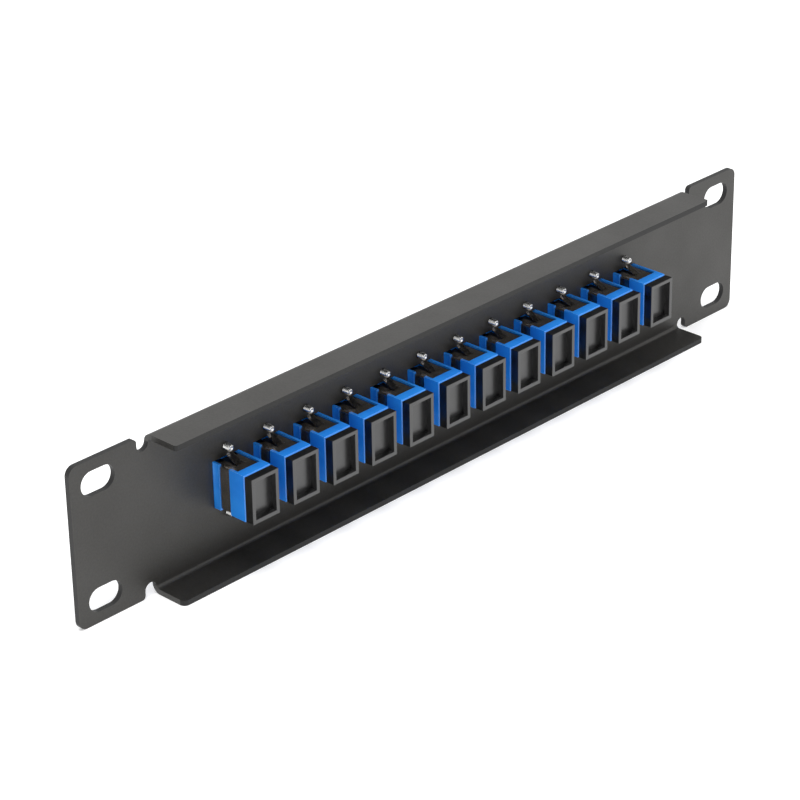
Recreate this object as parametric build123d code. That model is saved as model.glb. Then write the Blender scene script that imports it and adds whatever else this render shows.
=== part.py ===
from build123d import *
from build123d.topology import SkipClean
import math
import os

# Fibre patch panel for a 10 inch rack, one unit high, with twelve upright simplex couplers.
# Millimetres. X runs to the right seen from the front, Z is up, +Y points to the rear.
# The origin is the middle of the rack slot pattern, on the face that seats on the rack rails.

# Rack fixing
rack_pitch_x = 236.5
rack_pitch_z = 31.75
rack_screw_diameter = 6.0
rack_slot_clearance = 0.6
rack_slot_side_play = 4.0
rack_slot_edge = 8.75

# Sheet
panel_width = rack_pitch_x + 2 * rack_slot_edge
panel_height = 44.4
sheet_thickness = 1.5
flange_reach = 10.0
bend_inner_radius = 1.0
ear_width = 21.3
ear_corner_radius = 2.5
ear_inner_corner_radius = 1.2
notch_width = 3.7
notch_depth = 4.0
bottom_flange_corner_radius = 1.6
top_flange_corner_radius = 0.8

# Coupler row
coupler_count = 12
coupler_pitch = 14.0
cutout_clearance = 0.2

# Coupler housing
port_width = 7.5
port_height = 9.1
side_wall = 0.8
top_wall = 1.85
housing_width = port_width + 2 * side_wall
housing_height = port_height + 2 * top_wall
housing_front_length = 12.65
housing_rear_length = 12.75
housing_end_chamfer = 0.3
key_slot_height = 2.6
key_slot_length = 5.0

# Fixing screws, one above and one below each housing
screw_offset = 2.9
screw_pitch = housing_height + 2 * screw_offset
screw_diameter = 2.0
screw_length = 5.0
screw_head_diameter = 3.8
screw_head_height = 1.3
screw_hole_clearance = 0.1
tapped_hole_clearance = 0.05

# Ear plate that carries the housing on the sheet
ear_plate_end = 2.0
ear_plate_side_lip = 0.1
ear_plate_width = housing_width + 2 * ear_plate_side_lip
ear_plate_height = screw_pitch + 2 * ear_plate_end
ear_plate_thickness = 2.0
ear_plate_chamfer = 0.8

# Clip seat in the housing
clip_thickness = 0.3
clip_gap = 0.1
clip_bend = 0.15
clip_neck_start = 2.1
clip_neck_width = 3.5
clip_leg_length = 7.9
clip_leg_start = 0.1
clip_side_play = 0.15
seat_width = 6.1
seat_depth = 0.75
groove_depth = 0.6

# Clip tongue
tongue_width = 2.2
tongue_slit = 0.3
tongue_root = 5.3
tongue_tip = 0.9
tongue_lift = 1.9
tongue_overlap = 0.2

# Small round pieces and holes that repeat along the row have this many flat sides
small_round_sides = 8

# Sleeve and the barrel that holds it
sleeve_diameter = 3.2
sleeve_bore = 2.5
sleeve_length = 11.4
sleeve_slit = 0.4
sleeve_clearance = 0.05
barrel_wall = 0.75
barrel_end = 0.5
barrel_bore = sleeve_diameter + 2 * sleeve_clearance
barrel_width = barrel_bore + 2 * barrel_wall
barrel_length = sleeve_length + 2 * barrel_end

# Dust caps
cap_head_width = 9.1
cap_head_height = 12.5
cap_head_thickness = 2.6
cap_rim = 1.05
cap_recess = 2.0
cap_plug_length = 5.0
cap_plug_wall = 0.9
cap_plug_clearance = 0.1
cap_seat_gap = 0.05

# Middle plate and latch arms of the sleeve holder
holder_plate_thickness = 2.4
holder_clearance = 0.05
latch_arm_thickness = 0.5
latch_arm_width = 3.6
latch_gap = 0.1
latch_tip_lap = 0.25
latch_pocket_end = 0.6
hook_length = 1.6
hook_depth = 0.6

# Cuts run this far past the face that they open
cut_margin = 1.0

# Places along Y
sheet_front = -sheet_thickness
ear_plate_front = sheet_front - ear_plate_thickness
housing_front = ear_plate_front - housing_front_length
housing_rear = sheet_front + housing_rear_length
housing_middle = (housing_front + housing_rear) / 2

# Reach from the housing's middle; a latch arm's tip laps the plug of a fitted cap
cap_plug_reach = (housing_rear - housing_front) / 2 + cap_seat_gap - cap_plug_length
latch_arm_reach = cap_plug_reach + latch_tip_lap
latch_pocket_reach = latch_arm_reach + latch_pocket_end

# Places along X and Z
flange_half = panel_width / 2 - ear_width - notch_width
slot_width = rack_screw_diameter + rack_slot_clearance
slot_length = slot_width + rack_slot_side_play
row_start = -coupler_pitch * (coupler_count - 1) / 2
coupler_places = [row_start + coupler_pitch * step for step in range(coupler_count)]
screw_rows = (-screw_pitch / 2, screw_pitch / 2)

# Faces of the clip's seat
seat_z = housing_height / 2 - seat_depth
groove_x = housing_width / 2 - groove_depth
seat_half_width = seat_width / 2
seat_end = clip_leg_start + clip_leg_length + clip_side_play
tongue_window = tongue_width / 2 + tongue_slit
latch_pocket_z = port_height / 2 + latch_gap + latch_arm_thickness + latch_gap


def block(x, y, z):
    """A box between the low and high coordinate of each axis."""
    centre = [(low + high) / 2 for low, high in (x, y, z)]
    size = [high - low for low, high in (x, y, z)]
    return Pos(*centre) * Box(*size)


def around(half):
    """The low and high coordinate of a stretch centred on zero."""
    return (-half, half)


def rod(diameter, y, x=0, z=0):
    """A small round rod along Y, measured across its flat sides."""
    low, high = y
    outline = RegularPolygon(diameter / 2, small_round_sides, major_radius=False)
    return Pos(x, high, z) * extrude(Plane.XZ * outline, high - low)


def folded_strip():
    """The middle of the sheet, with its top and bottom flanges folded to the rear."""
    outer_radius = bend_inner_radius + sheet_thickness
    depth = flange_reach + sheet_thickness
    outside = Pos(sheet_front + depth / 2, 0) * Rectangle(depth, panel_height)
    outside = fillet(outside.vertices().group_by(Axis.X)[0], outer_radius)
    inner_height = panel_height - 2 * sheet_thickness
    inside = Pos(flange_reach / 2, 0) * Rectangle(flange_reach, inner_height)
    inside = fillet(inside.vertices().group_by(Axis.X)[0], bend_inner_radius)
    section = Plane.YZ * (outside - inside)
    strip = extrude(section, flange_half, both=True)
    strip = round_flange_end(strip, 1, top_flange_corner_radius)
    return round_flange_end(strip, -1, bottom_flange_corner_radius)


def round_flange_end(strip, side, radius):
    """Round the two free corners of the flange on the given side of the sheet's middle."""
    corners = strip.edges().filter_by(Axis.Z).group_by(Axis.Y)[-1]
    return fillet(corners.filter_by(lambda edge: edge.center().Z * side > 0), radius)


def rack_ear():
    """The flat ear at the +X end, with its relief notches and two rack slots."""
    width = notch_width + ear_width
    plate = Pos(flange_half + width / 2, 0) * Rectangle(width, panel_height)
    plate = fillet(plate.vertices().group_by(Axis.X)[-1], ear_corner_radius)
    notch_radius = notch_width / 2
    notch_x = flange_half + notch_radius
    for side in (-1, 1):
        notch_z = side * (panel_height / 2 - notch_depth + notch_radius)
        plate -= Pos(notch_x, notch_z) * Circle(notch_radius)
        plate -= Pos(notch_x, notch_z + side * notch_depth / 2) * Rectangle(notch_width, notch_depth)
    ends = plate.vertices().group_by(Axis.Y)
    inner_corners = [end.sort_by(Axis.X)[0] for end in (ends[0], ends[-1])]
    plate = fillet(inner_corners, ear_inner_corner_radius)
    for side in (-1, 1):
        slot = SlotOverall(slot_length, slot_width)
        plate -= Pos(rack_pitch_x / 2, side * rack_pitch_z / 2) * slot
    return extrude(Plane.XZ * plate, sheet_thickness)


def panel():
    """One folded sheet: flanges, ears, coupler cut-outs and tapped screw holes."""
    half_width = housing_width / 2 + cutout_clearance
    half_height = housing_height / 2 + cutout_clearance
    hole = screw_diameter + 2 * tapped_hole_clearance
    through = (sheet_front - cut_margin, cut_margin)
    cuts = []
    for x in coupler_places:
        cuts.append(block((x - half_width, x + half_width), through, around(half_height)))
        for z in screw_rows:
            cuts.append(rod(hole, through, x, z))
    ear = rack_ear()
    strip = folded_strip()
    other_ear = mirror(ear, Plane.YZ)
    # Flat faces stay unmerged here, so that each ear's seat on its rack rail is a face of its own
    with SkipClean():
        return strip + ear + other_ear - cuts


def housing():
    """Moulded coupler housing: ear plate, two ports, latch pockets and the clip's seat."""
    half_width = housing_width / 2
    half_height = housing_height / 2
    body = block(around(half_width), (housing_front, housing_rear), around(half_height))
    ends = body.edges().group_by(Axis.Y)
    body = chamfer(ends[0] + ends[-1], housing_end_chamfer)
    plate = block(around(ear_plate_width / 2), (ear_plate_front, sheet_front), around(ear_plate_height / 2))
    body += chamfer(plate.edges().filter_by(Axis.Y), ear_plate_chamfer)
    length = (housing_front - cut_margin, housing_rear + cut_margin)
    body -= block(around(port_width / 2), length, around(port_height / 2))
    pocket_half = latch_arm_width / 2 + latch_gap
    pocket_y = (housing_middle - latch_pocket_reach, housing_middle + latch_pocket_reach)
    body -= block(around(pocket_half), pocket_y, around(latch_pocket_z))
    key = around(key_slot_height / 2)
    key_x = (-half_width - cut_margin, 0)
    body -= block(key_x, (length[0], housing_front + key_slot_length), key)
    body -= block(key_x, (housing_rear - key_slot_length, length[1]), key)
    hole = screw_diameter + 2 * screw_hole_clearance
    hole_y = (ear_plate_front - cut_margin, sheet_front + cut_margin)
    for z in screw_rows:
        body -= rod(hole, hole_y, z=z)
    return body - clip_seat()


def clip_seat():
    """The space cut for the clip: a tray and a window under each tongue, and a groove down +X."""
    top = housing_height
    neck = (clip_neck_start, clip_neck_start + clip_neck_width + 2 * clip_gap)
    trays = []
    for side in (-1, 1):
        z = sorted((side * seat_z, side * top))
        trays.append(block(around(seat_half_width), (0, seat_end), z))
        trays.append(block((0, housing_width), neck, z))
        wall = sorted((side * port_height / 2, side * top))
        trays.append(block(around(tongue_window), (0, tongue_root), wall))
    groove = block((groove_x, housing_width), neck, around(top))
    return trays + [groove]


def clip():
    """Spring clip folded from strip: a bridge, two legs and a raised tongue on each leg."""
    inner_x = groove_x + clip_gap
    inner_z = seat_z + clip_gap
    leg_half = seat_half_width - clip_side_play
    outer_bend = clip_bend + clip_thickness * (2 - math.sqrt(2))
    band = clip_profile(-leg_half, inner_x + clip_thickness, inner_z + clip_thickness, outer_bend)
    band -= clip_profile(-leg_half, inner_x, inner_z, clip_bend)
    neck_start = clip_neck_start + clip_gap
    strip = Pos(0, neck_start + clip_neck_width, 0) * extrude(Plane.XZ * band, clip_neck_width)
    leg_y = (clip_leg_start, clip_leg_start + clip_leg_length)
    leg = block(around(leg_half), leg_y, (inner_z, inner_z + clip_thickness))
    window_y = (clip_leg_start - cut_margin, tongue_root)
    window = block(around(tongue_window), window_y, around(housing_height))
    tongue = clip_tongue(inner_z)
    return strip + leg + mirror(leg, Plane.XY) - window + tongue + mirror(tongue, Plane.XY)


def clip_profile(left, right, half_height, bend):
    """A rectangle with its two +X corners cut back, where the strip is folded."""
    shape = Pos((left + right) / 2, 0) * Rectangle(right - left, 2 * half_height)
    return chamfer(shape.vertices().group_by(Axis.X)[-1], bend)


def clip_tongue(inner_z):
    """The tongue of the clip's upper leg, bent up towards the sheet."""
    root = tongue_root + tongue_overlap
    outline = Polygon(
        (root, inner_z),
        (root, inner_z + clip_thickness),
        (tongue_tip, inner_z + clip_thickness + tongue_lift),
        (tongue_tip, inner_z + tongue_lift),
        align=None,
    )
    return extrude(Plane.YZ * outline, tongue_width / 2, both=True)


def sleeve():
    """Split sleeve that lines up the two ferrules."""
    half = sleeve_length / 2
    body = rod(sleeve_diameter, (housing_middle - half, housing_middle + half))
    through = (housing_middle - half - cut_margin, housing_middle + half + cut_margin)
    bore = rod(sleeve_bore, through)
    slit = block(around(sleeve_slit / 2), through, (0, sleeve_diameter))
    return body - bore - slit


def sleeve_holder():
    """Middle plate with the sleeve's barrel and four hooked latch arms."""
    half = holder_plate_thickness / 2
    plate_y = (housing_middle - half, housing_middle + half)
    half_width = port_width / 2 - holder_clearance
    half_height = port_height / 2 - holder_clearance
    body = block(around(half_width), plate_y, around(half_height))
    barrel_half = barrel_length / 2
    barrel_y = (housing_middle - barrel_half, housing_middle + barrel_half)
    body += block(around(barrel_width / 2), barrel_y, around(barrel_width / 2))
    arm = latch_arms()
    body += arm + mirror(arm, Plane.XY)
    bore_y = (barrel_y[0] - cut_margin, barrel_y[1] + cut_margin)
    return body - rod(barrel_bore, bore_y)


def latch_arms():
    """The upper pair of latch arms, one to each port, with a sloped hook at each end."""
    inner = port_height / 2 + latch_gap
    outer = inner + latch_arm_thickness
    root = port_height / 2 - 2 * holder_clearance - latch_arm_thickness
    half = holder_plate_thickness / 2
    tip = latch_arm_reach
    catch = tip - hook_length
    hook = inner - hook_depth - latch_gap
    right = [(half, root), (half, inner), (catch, inner), (catch, hook), (tip, inner), (tip, outer)]
    left = [(-y, z) for y, z in reversed(right)]
    outline = Polygon(*right, *left, align=None)
    arms = extrude(Plane.YZ * outline, latch_arm_width / 2, both=True)
    return Pos(0, housing_middle, 0) * arms


def screw():
    """Cheese-head screw from the front, through the ear plate and the sheet."""
    shank = rod(screw_diameter, (ear_plate_front, ear_plate_front + screw_length))
    head = rod(screw_head_diameter, (ear_plate_front - screw_head_height, ear_plate_front))
    return head + shank


def rear_cap():
    """Dust cap: a hollow plug in the port and a rimmed head outside it."""
    seat = housing_rear + cap_seat_gap
    end = seat + cap_head_thickness
    body = block(around(cap_head_width / 2), (seat, end), around(cap_head_height / 2))
    recess_x = cap_head_width / 2 - cap_rim
    recess_z = cap_head_height / 2 - cap_rim
    body -= block(around(recess_x), (end - cap_recess, end + cut_margin), around(recess_z))
    plug_x = port_width / 2 - cap_plug_clearance
    plug_z = port_height / 2 - cap_plug_clearance
    plug_y = (seat - cap_plug_length, seat)
    plug = block(around(plug_x), plug_y, around(plug_z))
    plug -= block(around(plug_x - cap_plug_wall), plug_y, around(plug_z - cap_plug_wall))
    return body + plug


def front_cap():
    """The same cap, turned to face forward in the front port."""
    return Pos(0, 2 * housing_middle, 0) * mirror(rear_cap(), Plane.XZ)


def write(name, shape):
    """Write one sub-part under its own name."""
    export_step(shape, f"parts/{name}.step")


def write_row(name, shape):
    """Write one copy of a piece for each coupler, numbered from -X."""
    for number, x in enumerate(coupler_places, start=1):
        write(f"{name}_{number:02d}", Pos(x, 0, 0) * shape)


def row_of(shape, heights=(0,)):
    """One group of separate solids, with a copy for each coupler and height."""
    return Compound(children=[Pos(x, 0, z) * shape for x in coupler_places for z in heights])


os.makedirs("parts", exist_ok=True)
write("panel", panel())
write_row("housing", housing())
write_row("clip", clip())
write_row("rear_cap", rear_cap())
write_row("front_cap", front_cap())
write("sleeves", row_of(sleeve()))
write("sleeve_holders", row_of(sleeve_holder()))
write("screws", row_of(screw(), screw_rows))
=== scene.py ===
import math

import bmesh
import bpy
from mathutils import Matrix, Vector

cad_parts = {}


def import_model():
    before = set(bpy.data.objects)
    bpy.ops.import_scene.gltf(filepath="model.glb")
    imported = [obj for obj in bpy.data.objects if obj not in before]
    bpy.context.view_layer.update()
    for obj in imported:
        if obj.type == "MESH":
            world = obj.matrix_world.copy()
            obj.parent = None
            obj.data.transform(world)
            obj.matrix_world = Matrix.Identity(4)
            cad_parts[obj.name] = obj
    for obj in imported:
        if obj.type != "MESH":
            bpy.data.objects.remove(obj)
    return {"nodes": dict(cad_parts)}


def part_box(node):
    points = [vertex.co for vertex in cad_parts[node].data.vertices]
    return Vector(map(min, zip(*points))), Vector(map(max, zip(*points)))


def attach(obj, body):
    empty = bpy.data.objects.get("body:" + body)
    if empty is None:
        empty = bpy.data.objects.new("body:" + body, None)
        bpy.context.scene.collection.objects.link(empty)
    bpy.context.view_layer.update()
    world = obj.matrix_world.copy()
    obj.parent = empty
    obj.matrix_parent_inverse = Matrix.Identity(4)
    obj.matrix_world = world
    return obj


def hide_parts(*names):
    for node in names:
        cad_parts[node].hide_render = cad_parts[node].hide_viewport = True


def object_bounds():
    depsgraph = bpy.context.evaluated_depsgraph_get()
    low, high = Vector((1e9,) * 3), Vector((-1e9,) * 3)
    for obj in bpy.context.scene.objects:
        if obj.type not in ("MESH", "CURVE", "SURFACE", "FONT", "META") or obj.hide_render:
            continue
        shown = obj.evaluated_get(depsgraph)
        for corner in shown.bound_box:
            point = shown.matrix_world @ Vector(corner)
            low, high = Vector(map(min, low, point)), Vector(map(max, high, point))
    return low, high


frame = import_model()
cad_low, cad_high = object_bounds()

# Rear view of a 10 inch fibre patch panel. Metres and degrees. +Y is the rear, +Z is up.
MM = 0.001
ROOT = "panel_assembly"
NUMBERS = [f"{number:02d}" for number in range(1, 13)]

# Camera, at the photograph's place
CAMERA_PLACE = (0.50073, 0.47166, 0.33629)
CAMERA_TURN = (63.512, 0.883, 133.703)
CAMERA_LENS = 129.34
CAMERA_SENSOR = 36
CAMERA_NEAR = 0.01

# Light, and the floor that glows a little to stay white
STUDIO_LIGHT = 0.96
SOFTBOX_PLACE = (0.3, 0.25, 1.6)
SOFTBOX_SIZE = 0.8
SOFTBOX_WATTS = 14
FLOOR_HALF = 4.0
FLOOR_GREY = 0.9
FLOOR_GLOW = 0.25

# The values of a noise between which a colour or a roughness changes
COLOUR_SPAN = (0.35, 0.65)
ROUGHNESS_SPAN = (0.3, 0.7)

# Rounding of edges, and the name of the mark on the faces that round them, which also places the blue
# plastic's painted edge highlight
PANEL_EDGE = 0.28 * MM
HOUSING_EDGE = 0.2 * MM
CAP_EDGE = 0.12 * MM
INNER_EDGE = 0.06 * MM
CLIP_EDGE = 0.05 * MM
EDGE_SEGMENTS = 2
SHARP_ANGLE = 30
ROUNDING = "rounding"

# Clean-up of the solids' meshes
WELD_DISTANCE = 0.001 * MM
FLAT_ANGLE = 0.5

# The sheet's cut faces: as wide as the sheet is thick, and not much larger than that times their length
SHEET_THICKNESS = 1.5 * MM
CUT_FACE_PLAY = 0.01 * MM
CUT_FACE_SHARE = 1.05

# How far a cutting box goes past the surface that it opens
CUT_MARGIN = 0.2 * MM

# The clip's seat in a housing, and the window under a tongue, from the middle of the coupler
HOUSING_TOP = 6.4 * MM
SEAT_HALF = 3.75 * MM
SEAT_DEPTH = 0.76 * MM
SEAT_START = -1.45 * MM
SEAT_END = 8.17 * MM
WINDOW_HALF = 1.42 * MM
WINDOW_DEPTH = 1.87 * MM
WINDOW_END = 5.32 * MM

# Spring clip, from the middle of the coupler
CLIP_THICKNESS = 0.3 * MM
CLIP_BEND = 0.3 * MM
CLIP_LEG_HALF = 3.6 * MM
CLIP_LEG_START = -1.2 * MM
CLIP_NECK = (2.2 * MM, 5.7 * MM)
BEND_STEPS = 6
BRIDGE_STEPS = 4

# The tongue of a clip's leg, and its steps across and along, up to the neck and on to the root
TONGUE_HALF = 1.1 * MM
TONGUE_SLIT = 0.3 * MM
TONGUE_TIP = 0.9 * MM
TONGUE_ROOT = 5.3 * MM
TONGUE_LIFT = 1.9 * MM
TONGUE_CORNER = 0.5 * MM
TONGUE_CURVE = 1.2
TONGUE_ACROSS = 6
TONGUE_ALONG = (4, 6)

# What a place on the clip's blank belongs to
STRIP = 1
TONGUE = 2

# Screw: its head seats at SCREW_SEAT, in front of the sheet
SCREW_SEAT = -3.5 * MM
SCREW_DIAMETER = 2.0 * MM
SCREW_LENGTH = 5.6 * MM
SCREW_HEAD = 3.8 * MM
SCREW_HEAD_HEIGHT = 1.3 * MM
SCREW_SLOT_WIDTH = 0.6 * MM
SCREW_SLOT_DEPTH = 0.6 * MM
SCREW_PITCH_Z = 18.6 * MM
SCREW_SIDES = 40
CROWN = 0.25 * MM
CROWN_RINGS = (0.0, 0.4, 0.75, 1.0)

# Thread, with a small hollow in its end, whose rings are shares of the screw's radius
THREAD_PITCH = 0.4 * MM
THREAD_DEPTH = 0.2 * MM
THREAD_CURVE = 0.8
THREAD_RINGS = 6
TIP_FADE = 0.4
TIP_TAPER = 0.9
HOLLOW_RINGS = (0.42, 0.2)
HOLLOW_DEPTH = 0.25 * MM

# Turn of a screw about its axis: from coupler to coupler, and from the lower to the upper row
COUPLER_TURN = 67
ROW_TURN = 41


def shade(red, green, blue):
    """A display colour from 0 to 255 as the linear colour that a shader takes."""
    def linear(value):
        value /= 255
        return value / 12.92 if value <= 0.04045 else ((value + 0.055) / 1.055) ** 2.4
    return (linear(red), linear(green), linear(blue), 1.0)


# Materials

class Finish:
    """A material with its node tree at hand."""

    def __init__(self, name):
        self.material = bpy.data.materials.new(name)
        self.material.use_nodes = True
        self.nodes = self.material.node_tree.nodes
        self.links = self.material.node_tree.links
        self.shader = self.nodes["Principled BSDF"]
        self.place = self.nodes.new("ShaderNodeTexCoord").outputs["Object"]

    def uniform(self, name, value):
        """One value all over, on the shader's own socket."""
        self.shader.inputs[name].default_value = value

    def noise(self, size, detail=2.0, stretch=(1, 1, 1)):
        """Noise whose grains are about size across, drawn out along the axes by stretch."""
        mapping = self.nodes.new("ShaderNodeMapping")
        mapping.inputs["Scale"].default_value = [1 / (size * s) for s in stretch]
        self.links.new(self.place, mapping.inputs["Vector"])
        texture = self.nodes.new("ShaderNodeTexNoise")
        texture.inputs["Scale"].default_value = 1.0
        texture.inputs["Detail"].default_value = detail
        self.links.new(mapping.outputs["Vector"], texture.inputs["Vector"])
        return texture.outputs["Fac"]

    def colour(self, value, low, high):
        """Colour between low and high."""
        ramp = self.nodes.new("ShaderNodeValToRGB")
        ends = zip(ramp.color_ramp.elements, COLOUR_SPAN, (low, high))
        for element, position, colour in ends:
            element.position, element.color = position, colour
        self.links.new(value, ramp.inputs["Fac"])
        self.links.new(ramp.outputs["Color"], self.shader.inputs["Base Color"])

    def painted_edge_highlight(self, colour, share):
        """A share of another colour on the rounded edges: a painted highlight."""
        mark = self.nodes.new("ShaderNodeAttribute")
        mark.attribute_name = ROUNDING
        strength = self.nodes.new("ShaderNodeMath")
        strength.operation = "MULTIPLY"
        strength.inputs[1].default_value = share
        self.links.new(mark.outputs["Fac"], strength.inputs[0])
        mix = self.nodes.new("ShaderNodeMix")
        mix.data_type = "RGBA"
        self.links.new(strength.outputs[0], mix.inputs["Factor"])
        base = self.shader.inputs["Base Color"].links[0].from_socket
        self.links.new(base, mix.inputs["A"])
        mix.inputs["B"].default_value = colour
        self.links.new(mix.outputs["Result"], self.shader.inputs["Base Color"])

    def roughness(self, value, low, high):
        """Roughness between low and high."""
        span = self.nodes.new("ShaderNodeMapRange")
        span.inputs["From Min"].default_value = ROUGHNESS_SPAN[0]
        span.inputs["From Max"].default_value = ROUGHNESS_SPAN[1]
        span.inputs["To Min"].default_value = low
        span.inputs["To Max"].default_value = high
        self.links.new(value, span.inputs["Value"])
        self.links.new(span.outputs["Result"], self.shader.inputs["Roughness"])

    def bump(self, value, depth, strength):
        """Relief of the given depth, on top of any relief that is there already."""
        bump = self.nodes.new("ShaderNodeBump")
        bump.inputs["Strength"].default_value = strength
        bump.inputs["Distance"].default_value = depth
        self.links.new(value, bump.inputs["Height"])
        for link in self.shader.inputs["Normal"].links:
            self.links.new(link.from_socket, bump.inputs["Normal"])
        self.links.new(bump.outputs["Normal"], self.shader.inputs["Normal"])


def powder_coat():
    """Black powder coat with the fine grain of a textured coat."""
    finish = Finish("panel_powder_coat")
    fine = finish.noise(0.55 * MM, detail=3)
    cloud = finish.noise(14 * MM)
    finish.colour(fine, shade(22, 21, 20), shade(34, 33, 31))
    finish.roughness(cloud, 0.44, 0.52)
    finish.bump(cloud, 0.02 * MM, 0.15)
    finish.bump(fine, 0.05 * MM, 0.55)
    finish.uniform("Specular IOR Level", 0.74)
    finish.uniform("Specular Tint", (1.0, 0.985, 0.95, 1.0))
    return finish.material


def cut_edge_painted_shade():
    """The sheet's cut edges, darker and with a weaker sheen: painted shade along them."""
    finish = Finish("panel_cut_edge_painted_shade")
    fine = finish.noise(0.4 * MM, detail=3)
    # Painted shade: the cut faces are darker than the coat around them
    finish.colour(fine, shade(18, 18, 18), shade(28, 28, 28))
    finish.roughness(fine, 0.46, 0.58)
    finish.bump(fine, 0.04 * MM, 0.4)
    finish.uniform("Specular IOR Level", 0.38)
    return finish.material


def blue_plastic():
    """Moulded blue plastic of the couplers, with a painted highlight on its edges."""
    finish = Finish("coupler_blue_plastic")
    grain = finish.noise(0.25 * MM)
    flow = finish.noise(5 * MM, stretch=(1, 3, 1))
    finish.colour(flow, shade(34, 132, 234), shade(42, 144, 243))
    # Painted highlight: a paler blue on the slim faces that round the edges
    finish.painted_edge_highlight(shade(175, 218, 255), 0.6)
    finish.roughness(flow, 0.20, 0.27)
    finish.bump(grain, 0.01 * MM, 0.25)
    finish.uniform("Specular IOR Level", 0.7)
    return finish.material


def cap_plastic():
    """Black plastic of the dust caps, with a soft sheen."""
    finish = Finish("cap_black_plastic")
    grain = finish.noise(0.3 * MM, detail=3)
    flow = finish.noise(4 * MM)
    finish.colour(flow, shade(6, 6, 7), shade(10, 10, 11))
    finish.roughness(flow, 0.29, 0.34)
    finish.bump(grain, 0.01 * MM, 0.25)
    finish.uniform("Specular IOR Level", 1.0)
    finish.uniform("IOR", 1.54)
    return finish.material


def clip_steel():
    """Rolled spring steel with a grain along the strip and a warm tint."""
    finish = Finish("clip_rolled_steel")
    grain = finish.noise(0.12 * MM, detail=3, stretch=(12, 1, 12))
    stain = finish.noise(3 * MM)
    finish.colour(stain, shade(160, 154, 147), shade(180, 174, 168))
    finish.roughness(grain, 0.16, 0.24)
    finish.bump(grain, 0.003 * MM, 0.15)
    finish.uniform("Metallic", 1.0)
    return finish.material


def screw_steel():
    """Bright plated steel of the screws."""
    finish = Finish("screw_plated_steel")
    grain = finish.noise(0.15 * MM)
    finish.colour(grain, shade(226, 226, 224), shade(244, 244, 242))
    finish.roughness(grain, 0.14, 0.22)
    finish.bump(grain, 0.008 * MM, 0.3)
    finish.uniform("Metallic", 1.0)
    return finish.material


def ceramic():
    """Ground white ceramic of the sleeves."""
    finish = Finish("sleeve_ceramic")
    grain = finish.noise(0.2 * MM, stretch=(1, 6, 1))
    finish.colour(grain, shade(226, 224, 218), shade(240, 239, 234))
    finish.roughness(grain, 0.22, 0.34)
    finish.bump(grain, 0.004 * MM, 0.2)
    return finish.material


def holder_plastic():
    """Dull black moulded plastic of the sleeve holders."""
    finish = Finish("holder_black_plastic")
    grain = finish.noise(0.3 * MM)
    finish.colour(grain, shade(22, 22, 23), shade(30, 30, 31))
    finish.roughness(grain, 0.42, 0.55)
    finish.bump(grain, 0.01 * MM, 0.3)
    return finish.material


# Objects and meshes

def in_scene(name, data):
    """A new object in the scene."""
    thing = bpy.data.objects.new(name, data)
    bpy.context.scene.collection.objects.link(thing)
    return thing


def mesh_of(name, work):
    """A new mesh from a finished bmesh."""
    mesh = bpy.data.meshes.new(name)
    work.to_mesh(mesh)
    work.free()
    return mesh


def smooth(work):
    """Shade every face smooth."""
    for face in work.faces:
        face.smooth = True


def baked(mesh, *modifiers):
    """The mesh with modifiers applied, each a type and its settings."""
    carrier = in_scene("carrier", mesh)
    for kind, settings in modifiers:
        modifier = carrier.modifiers.new(kind.lower(), kind)
        for key, value in settings.items():
            setattr(modifier, key, value)
    shaped = carrier.evaluated_get(bpy.context.evaluated_depsgraph_get())
    result = bpy.data.meshes.new_from_object(shaped)
    bpy.data.objects.remove(carrier)
    return result


def bevel(width, limit="ANGLE"):
    """Settings that round the sharp edges, or with limit WEIGHT the marked ones."""
    return ("BEVEL", {
        "width": width,
        "segments": EDGE_SEGMENTS,
        "limit_method": limit,
        "angle_limit": math.radians(SHARP_ANGLE),
        "use_clamp_overlap": True,
    })


def flat_faces():
    """Settings that keep the large faces flat where they meet a rounded edge."""
    settings = {"mode": "FACE_AREA", "weight": 80, "thresh": 0.01, "keep_sharp": True}
    return ("WEIGHTED_NORMAL", settings)


def cut_away(mesh, low, high):
    """The mesh without the space of a box between two corners."""
    work = bmesh.new()
    bmesh.ops.create_cube(work, size=1)
    for vert in work.verts:
        vert.co = [a + (share + 0.5) * (b - a) for a, b, share in zip(low, high, vert.co)]
    blade = in_scene("tool", mesh_of("tool", work))
    cut = baked(mesh, ("BOOLEAN", {"operation": "DIFFERENCE", "object": blade, "solver": "EXACT"}))
    bpy.data.objects.remove(blade)
    return cut


def middle_x(node):
    """The middle of a node along X."""
    low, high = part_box(node)
    return (low.x + high.x) / 2


# Pieces made from the solids' own meshes

def welded(mesh):
    """Join the corners that lie on each other and the triangles that lie in one plane."""
    work = bmesh.new()
    work.from_mesh(mesh)
    bmesh.ops.remove_doubles(work, verts=work.verts, dist=WELD_DISTANCE)
    limit = math.radians(FLAT_ANGLE)
    bmesh.ops.dissolve_limit(work, angle_limit=limit, verts=work.verts, edges=work.edges)
    work.to_mesh(mesh)
    work.free()


def mark_edges(mesh):
    """Smooth faces, with the outer edges marked for rounding and the inner ones kept sharp."""
    work = bmesh.new()
    work.from_mesh(mesh)
    weight = work.edges.layers.float.new("bevel_weight_edge")
    for edge in work.edges:
        if edge.is_manifold and edge.calc_face_angle() > math.radians(SHARP_ANGLE):
            edge[weight] = 1.0 if edge.is_convex else 0.0
            edge.smooth = edge.is_convex
    smooth(work)
    work.to_mesh(mesh)
    work.free()


def side_lengths(mesh, face):
    """How long each side of a face is."""
    corners = [mesh.vertices[index].co for index in face.vertices]
    return [(a - b).length for a, b in zip(corners, corners[1:] + corners[:1])]


def mark_cut_faces(mesh):
    """Give the second material to the faces that are as narrow as the sheet is thick."""
    mesh.materials.append(None)
    for face in mesh.polygons:
        sides = side_lengths(mesh, face)
        off = min(abs(side - SHEET_THICKNESS) for side in sides)
        narrow = face.area < CUT_FACE_SHARE * SHEET_THICKNESS * max(sides)
        face.material_index = int(narrow and off < CUT_FACE_PLAY)


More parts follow.
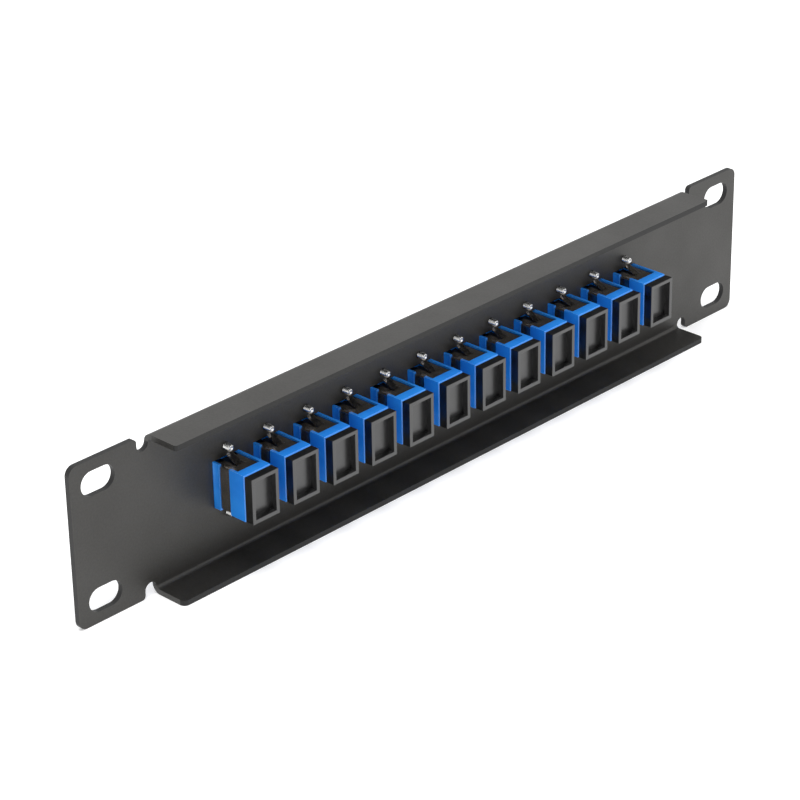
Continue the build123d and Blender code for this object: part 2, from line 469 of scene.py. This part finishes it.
def mark_rounding(mesh, width):
    """Give each face the value 1 where it is a slim strip that rounds an edge; the blue plastic paints
    its highlight there.
    """
    mark = mesh.attributes.new(ROUNDING, "FLOAT", "FACE")
    for face in mesh.polygons:
        longest = max(side_lengths(mesh, face))
        mark.data[face.index].value = float(face.area < longest * width)


def rounded(node, width, *cuts, cut_faces=False):
    """A solid's own mesh, less the boxes in cuts, with its outer edges rounded."""
    mesh = frame["nodes"][node].data.copy()
    welded(mesh)
    for low, high in cuts:
        mesh = cut_away(mesh, low, high)
    welded(mesh)
    if cut_faces:
        mark_cut_faces(mesh)
    mark_edges(mesh)
    mesh = baked(mesh, bevel(width, "WEIGHT"), flat_faces())
    mark_rounding(mesh, width)
    return mesh


def seat_cuts():
    """Boxes that open the first housing's clip seat to the port's width and through the cut-out."""
    middle = middle_x("housing_01")
    seat = (SEAT_HALF, SEAT_DEPTH, SEAT_END)
    window = (WINDOW_HALF, WINDOW_DEPTH, WINDOW_END)
    cuts = []
    for half, depth, end in (seat, window):
        for side in (-1, 1):
            low, high = sorted((side * (HOUSING_TOP - depth), side * (HOUSING_TOP + CUT_MARGIN)))
            cuts.append(((middle - half, SEAT_START, low), (middle + half, end, high)))
    return cuts


# Spring clip

def steps(start, end, count):
    """Places from start on, in equal steps, without the end."""
    return [start + (end - start) * step / count for step in range(count)]


def blank_part(along, y):
    """Whether a place on the clip's blank is strip, tongue or cut away."""
    x = along - CLIP_LEG_HALF
    if along > 2 * CLIP_LEG_HALF:
        return STRIP if CLIP_NECK[0] < y < CLIP_NECK[1] else None
    if abs(x) < TONGUE_HALF + TONGUE_SLIT and y < TONGUE_ROOT:
        return TONGUE if abs(x) < TONGUE_HALF and y > TONGUE_TIP else None
    return STRIP


def tongue_place(x, y):
    """A place on the tongue: bent up towards its tip, with rounded corners."""
    rise = TONGUE_LIFT * ((TONGUE_ROOT - y) / (TONGUE_ROOT - TONGUE_TIP)) ** TONGUE_CURVE
    inside = min(y - TONGUE_TIP, TONGUE_CORNER)
    cut = TONGUE_CORNER - math.sqrt(TONGUE_CORNER ** 2 - (TONGUE_CORNER - inside) ** 2)
    return x * (1 - cut / TONGUE_HALF), rise


def clip_mesh():
    """The clip at x = 0: a flat blank with its tongues cut free, folded to a U."""
    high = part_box("clip_01")[1]
    mid_x = high.x - middle_x("housing_01") - CLIP_THICKNESS / 2
    mid_z = high.z - TONGUE_LIFT - CLIP_THICKNESS / 2
    straight_x = mid_x - CLIP_BEND
    straight_z = mid_z - CLIP_BEND

    # Along the upper half of the blank: where the leg ends, where its bend ends, middle of the bridge
    leg = straight_x + CLIP_LEG_HALF
    bridge = leg + CLIP_BEND * math.pi / 2
    half = bridge + straight_z

    def fold(along):
        """The x and z of the strip's middle, at a distance along the upper half."""
        if along <= leg:
            return along - CLIP_LEG_HALF, mid_z
        if along <= bridge:
            turn = (along - leg) / CLIP_BEND
            return straight_x + CLIP_BEND * math.sin(turn), straight_z + CLIP_BEND * math.cos(turn)
        return mid_x, straight_z - (along - bridge)

    window = TONGUE_HALF + TONGUE_SLIT
    across = [0.0, CLIP_LEG_HALF - window]
    across += steps(CLIP_LEG_HALF - TONGUE_HALF, CLIP_LEG_HALF + TONGUE_HALF, TONGUE_ACROSS)
    across += [CLIP_LEG_HALF + TONGUE_HALF, CLIP_LEG_HALF + window, 2 * CLIP_LEG_HALF]
    across += steps(leg, bridge, BEND_STEPS) + steps(bridge, half, BRIDGE_STEPS) + [half]
    rows = [CLIP_LEG_START] + steps(TONGUE_TIP, CLIP_NECK[0], TONGUE_ALONG[0])
    rows += steps(CLIP_NECK[0], TONGUE_ROOT, TONGUE_ALONG[1])
    rows += [TONGUE_ROOT, CLIP_NECK[1], high.y]

    work = bmesh.new()
    made = {}

    def corner(along, y, side, part):
        """The vertex at a place on the blank, made once. Side is 1 in the upper half, -1 below."""
        x, z = fold(along)
        if part == TONGUE and y < TONGUE_ROOT:
            x, rise = tongue_place(x, y)
            z += rise
            key = (along, y, side, part)
        else:
            key = (along, y, side if along < half else 0, STRIP)
        if key not in made:
            made[key] = work.verts.new((x, y, side * z if along < half else 0))
        return made[key]

    for side in (1, -1):
        for left, right in zip(across, across[1:]):
            for near, far in zip(rows, rows[1:]):
                part = blank_part((left + right) / 2, (near + far) / 2)
                if part:
                    places = ((left, near), (right, near), (right, far), (left, far))
                    ring = [corner(along, y, side, part) for along, y in places]
                    work.faces.new(ring if side > 0 else ring[::-1])
    smooth(work)
    thick = ("SOLIDIFY", {"thickness": CLIP_THICKNESS, "offset": 0.0, "use_even_offset": True})
    return baked(mesh_of("clip", work), thick, bevel(CLIP_EDGE), flat_faces())


# Screws

def ring_of(work, y, radius_at):
    """Vertices of one ring about the Y axis; radius_at gives the radius at a turn from 0 to 1."""
    ring = []
    for side in range(SCREW_SIDES):
        turn = side / SCREW_SIDES
        radius = radius_at(turn)
        angle = 2 * math.pi * turn
        ring.append(work.verts.new((radius * math.cos(angle), y, radius * math.sin(angle))))
    return ring


def round_ring(work, y, radius):
    """Vertices of one circle about the Y axis."""
    return ring_of(work, y, lambda turn: radius)


def thread_ring(work, y):
    """Vertices of one ring of the thread, tapered out at the tip."""
    def radius_at(turn):
        phase = ((y - SCREW_SEAT) / THREAD_PITCH + turn) % 1.0
        groove = THREAD_DEPTH * (1 - abs(2 * phase - 1)) ** THREAD_CURVE
        lead = max(0.0, 1 - (SCREW_SEAT + SCREW_LENGTH - y) / THREAD_PITCH)
        return SCREW_DIAMETER / 2 - groove * (1 - TIP_FADE * lead) - lead * THREAD_DEPTH * TIP_TAPER
    return ring_of(work, y, radius_at)


def screw_mesh():
    """One screw at x = z = 0: a cheese head and a shank with a rolled thread."""
    work = bmesh.new()
    head_radius = SCREW_HEAD / 2
    radius = SCREW_DIAMETER / 2
    top = SCREW_SEAT - SCREW_HEAD_HEIGHT
    tip = SCREW_SEAT + SCREW_LENGTH
    rings = []
    for share in CROWN_RINGS:
        angle = share * math.pi / 2
        y = top + CROWN * (1 - math.cos(angle))
        rings.append(round_ring(work, y, head_radius - CROWN * (1 - math.sin(angle))))
    rings.append(round_ring(work, SCREW_SEAT, head_radius))
    rings.append(round_ring(work, SCREW_SEAT, radius))
    count = round(SCREW_LENGTH / THREAD_PITCH * THREAD_RINGS)
    for step in range(1, count + 1):
        rings.append(thread_ring(work, SCREW_SEAT + SCREW_LENGTH * step / count))
    rings.append(round_ring(work, tip, radius * HOLLOW_RINGS[0]))
    rings.append(round_ring(work, tip - HOLLOW_DEPTH, radius * HOLLOW_RINGS[1]))
    work.faces.new(rings[0])
    for first, second in zip(rings, rings[1:]):
        for side in range(SCREW_SIDES):
            after = (side + 1) % SCREW_SIDES
            work.faces.new((first[side], second[side], second[after], first[after]))
    work.faces.new(rings[-1][::-1])
    smooth(work)
    return mesh_of("screw", work)


def slotted(mesh):
    """The screw with a straight driver slot across its head."""
    top = SCREW_SEAT - SCREW_HEAD_HEIGHT
    low = (-SCREW_HEAD, top - CUT_MARGIN, -SCREW_SLOT_WIDTH / 2)
    high = (SCREW_HEAD, top + SCREW_SLOT_DEPTH, SCREW_SLOT_WIDTH / 2)
    return cut_away(mesh, low, high)


def all_screws():
    """Every screw in one mesh, each turned a little differently."""
    one = slotted(screw_mesh())
    work = bmesh.new()
    for index, number in enumerate(NUMBERS):
        for row, side in enumerate((-1, 1)):
            copy = one.copy()
            turn = math.radians((index * COUPLER_TURN + row * ROW_TURN) % 180)
            copy.transform(Matrix.Rotation(turn, 4, "Y"))
            place = (middle_x(f"housing_{number}"), 0, side * SCREW_PITCH_Z / 2)
            copy.transform(Matrix.Translation(place))
            work.from_mesh(copy)
    return mesh_of("screws", work)


# Pieces on their bodies

def add_piece(name, mesh, finishes, slot, body, *nodes):
    """Put a mesh in the scene as a piece that stands for the given nodes and rides on a body."""
    places = [face.material_index for face in mesh.polygons]
    mesh.materials.clear()
    for finish in finishes:
        mesh.materials.append(finish)
    for face, place in zip(mesh.polygons, places):
        face.material_index = place
    piece = in_scene(name, mesh)
    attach(piece, body)
    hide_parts(*nodes)


def couplers(name, mesh, finish, slot, at, moving=False):
    """One piece for each coupler, from a mesh made at x = at. A moving one rides on its own body."""
    for number in NUMBERS:
        node = f"{name}_{number}"
        copy = mesh.copy()
        copy.transform(Matrix.Translation((middle_x(f"housing_{number}") - at, 0, 0)))
        add_piece(f"{node}_body", copy, [finish], slot, node if moving else ROOT, node)


def build_pieces():
    """Every visible piece of the panel."""
    first = middle_x("housing_01")
    blue = blue_plastic()
    black = cap_plastic()
    sheet = rounded("panel", PANEL_EDGE, cut_faces=True)
    add_piece("panel_sheet", sheet, [powder_coat(), cut_edge_painted_shade()], "panel_paint", ROOT, "panel")
    housing = rounded("housing_01", HOUSING_EDGE, *seat_cuts())
    couplers("housing", housing, blue, "coupler_blue", first)
    couplers("clip", clip_mesh(), clip_steel(), "clip_steel", 0.0)
    for cap in ("rear_cap", "front_cap"):
        couplers(cap, rounded(f"{cap}_01", CAP_EDGE), black, "cap_black", first, moving=True)
    add_piece("screw_set", all_screws(), [screw_steel()], "screw_steel", ROOT, "screws")
    sleeves = rounded("sleeves", INNER_EDGE)
    add_piece("sleeve_set", sleeves, [ceramic()], "sleeve_ceramic", ROOT, "sleeves")
    holders = rounded("sleeve_holders", INNER_EDGE)
    add_piece("holder_set", holders, [holder_plastic()], "holder_plastic", ROOT, "sleeve_holders")


# Studio

def seen_or_mirrored(nodes, links):
    """1 where the camera looks at a surface straight or in a reflection, 0 where light falls on it."""
    path = nodes.new("ShaderNodeLightPath")
    value = path.outputs["Is Camera Ray"]
    for other in ("Is Glossy Ray", "Is Transmission Ray"):
        either = nodes.new("ShaderNodeMath")
        either.operation = "MAXIMUM"
        links.new(value, either.inputs[0])
        links.new(path.outputs[other], either.inputs[1])
        value = either.outputs[0]
    return value


def floor():
    """A pale floor under the panel, white to the camera apart from the panel's shadow."""
    mesh = bpy.data.meshes.new("floor")
    turns = ((-1, -1), (1, -1), (1, 1), (-1, 1))
    corners = [(x * FLOOR_HALF, y * FLOOR_HALF, cad_low.z) for x, y in turns]
    mesh.from_pydata(corners, [], [(0, 1, 2, 3)])
    material = bpy.data.materials.new("floor_pale")
    material.use_nodes = True
    nodes, links = material.node_tree.nodes, material.node_tree.links
    shader = nodes["Principled BSDF"]
    shader.inputs["Base Color"].default_value = (FLOOR_GREY, FLOOR_GREY, FLOOR_GREY, 1)
    shader.inputs["Roughness"].default_value = 0.8
    shader.inputs["Specular IOR Level"].default_value = 0.1
    shader.inputs["Emission Color"].default_value = (1, 1, 1, 1)
    level = nodes.new("ShaderNodeMath")
    level.operation = "MULTIPLY"
    level.inputs[1].default_value = FLOOR_GLOW
    links.new(seen_or_mirrored(nodes, links), level.inputs[0])
    links.new(level.outputs[0], shader.inputs["Emission Strength"])
    mesh.materials.append(material)
    in_scene("floor", mesh)


def world():
    """A white studio, a little dimmer as light than it looks, because the softbox adds to it."""
    studio = bpy.data.worlds.new("studio")
    bpy.context.scene.world = studio
    studio.use_nodes = True
    nodes, links = studio.node_tree.nodes, studio.node_tree.links
    strength = nodes.new("ShaderNodeMapRange")
    strength.inputs["To Min"].default_value = STUDIO_LIGHT
    strength.inputs["To Max"].default_value = 1.0
    links.new(seen_or_mirrored(nodes, links), strength.inputs["Value"])
    links.new(strength.outputs["Result"], nodes["Background"].inputs["Strength"])
    nodes["Background"].inputs["Color"].default_value = (1, 1, 1, 1)


def softbox():
    """A square lamp above the panel, turned towards it."""
    data = bpy.data.lights.new("key", "AREA")
    data.shape = "SQUARE"
    data.size = SOFTBOX_SIZE
    data.energy = SOFTBOX_WATTS
    lamp = in_scene("key", data)
    lamp.location = SOFTBOX_PLACE
    lamp.rotation_euler = (-Vector(SOFTBOX_PLACE)).to_track_quat("-Z", "Y").to_euler()


def camera():
    """The camera that took the photograph."""
    data = bpy.data.cameras.new("camera")
    data.lens = CAMERA_LENS
    data.sensor_width = CAMERA_SENSOR
    data.clip_start = CAMERA_NEAR
    eye = in_scene("camera", data)
    eye.location = CAMERA_PLACE
    eye.rotation_euler = [math.radians(angle) for angle in CAMERA_TURN]
    bpy.context.scene.camera = eye


build_pieces()
floor()
world()
softbox()
camera()
bpy.context.scene.view_settings.view_transform = "Standard"
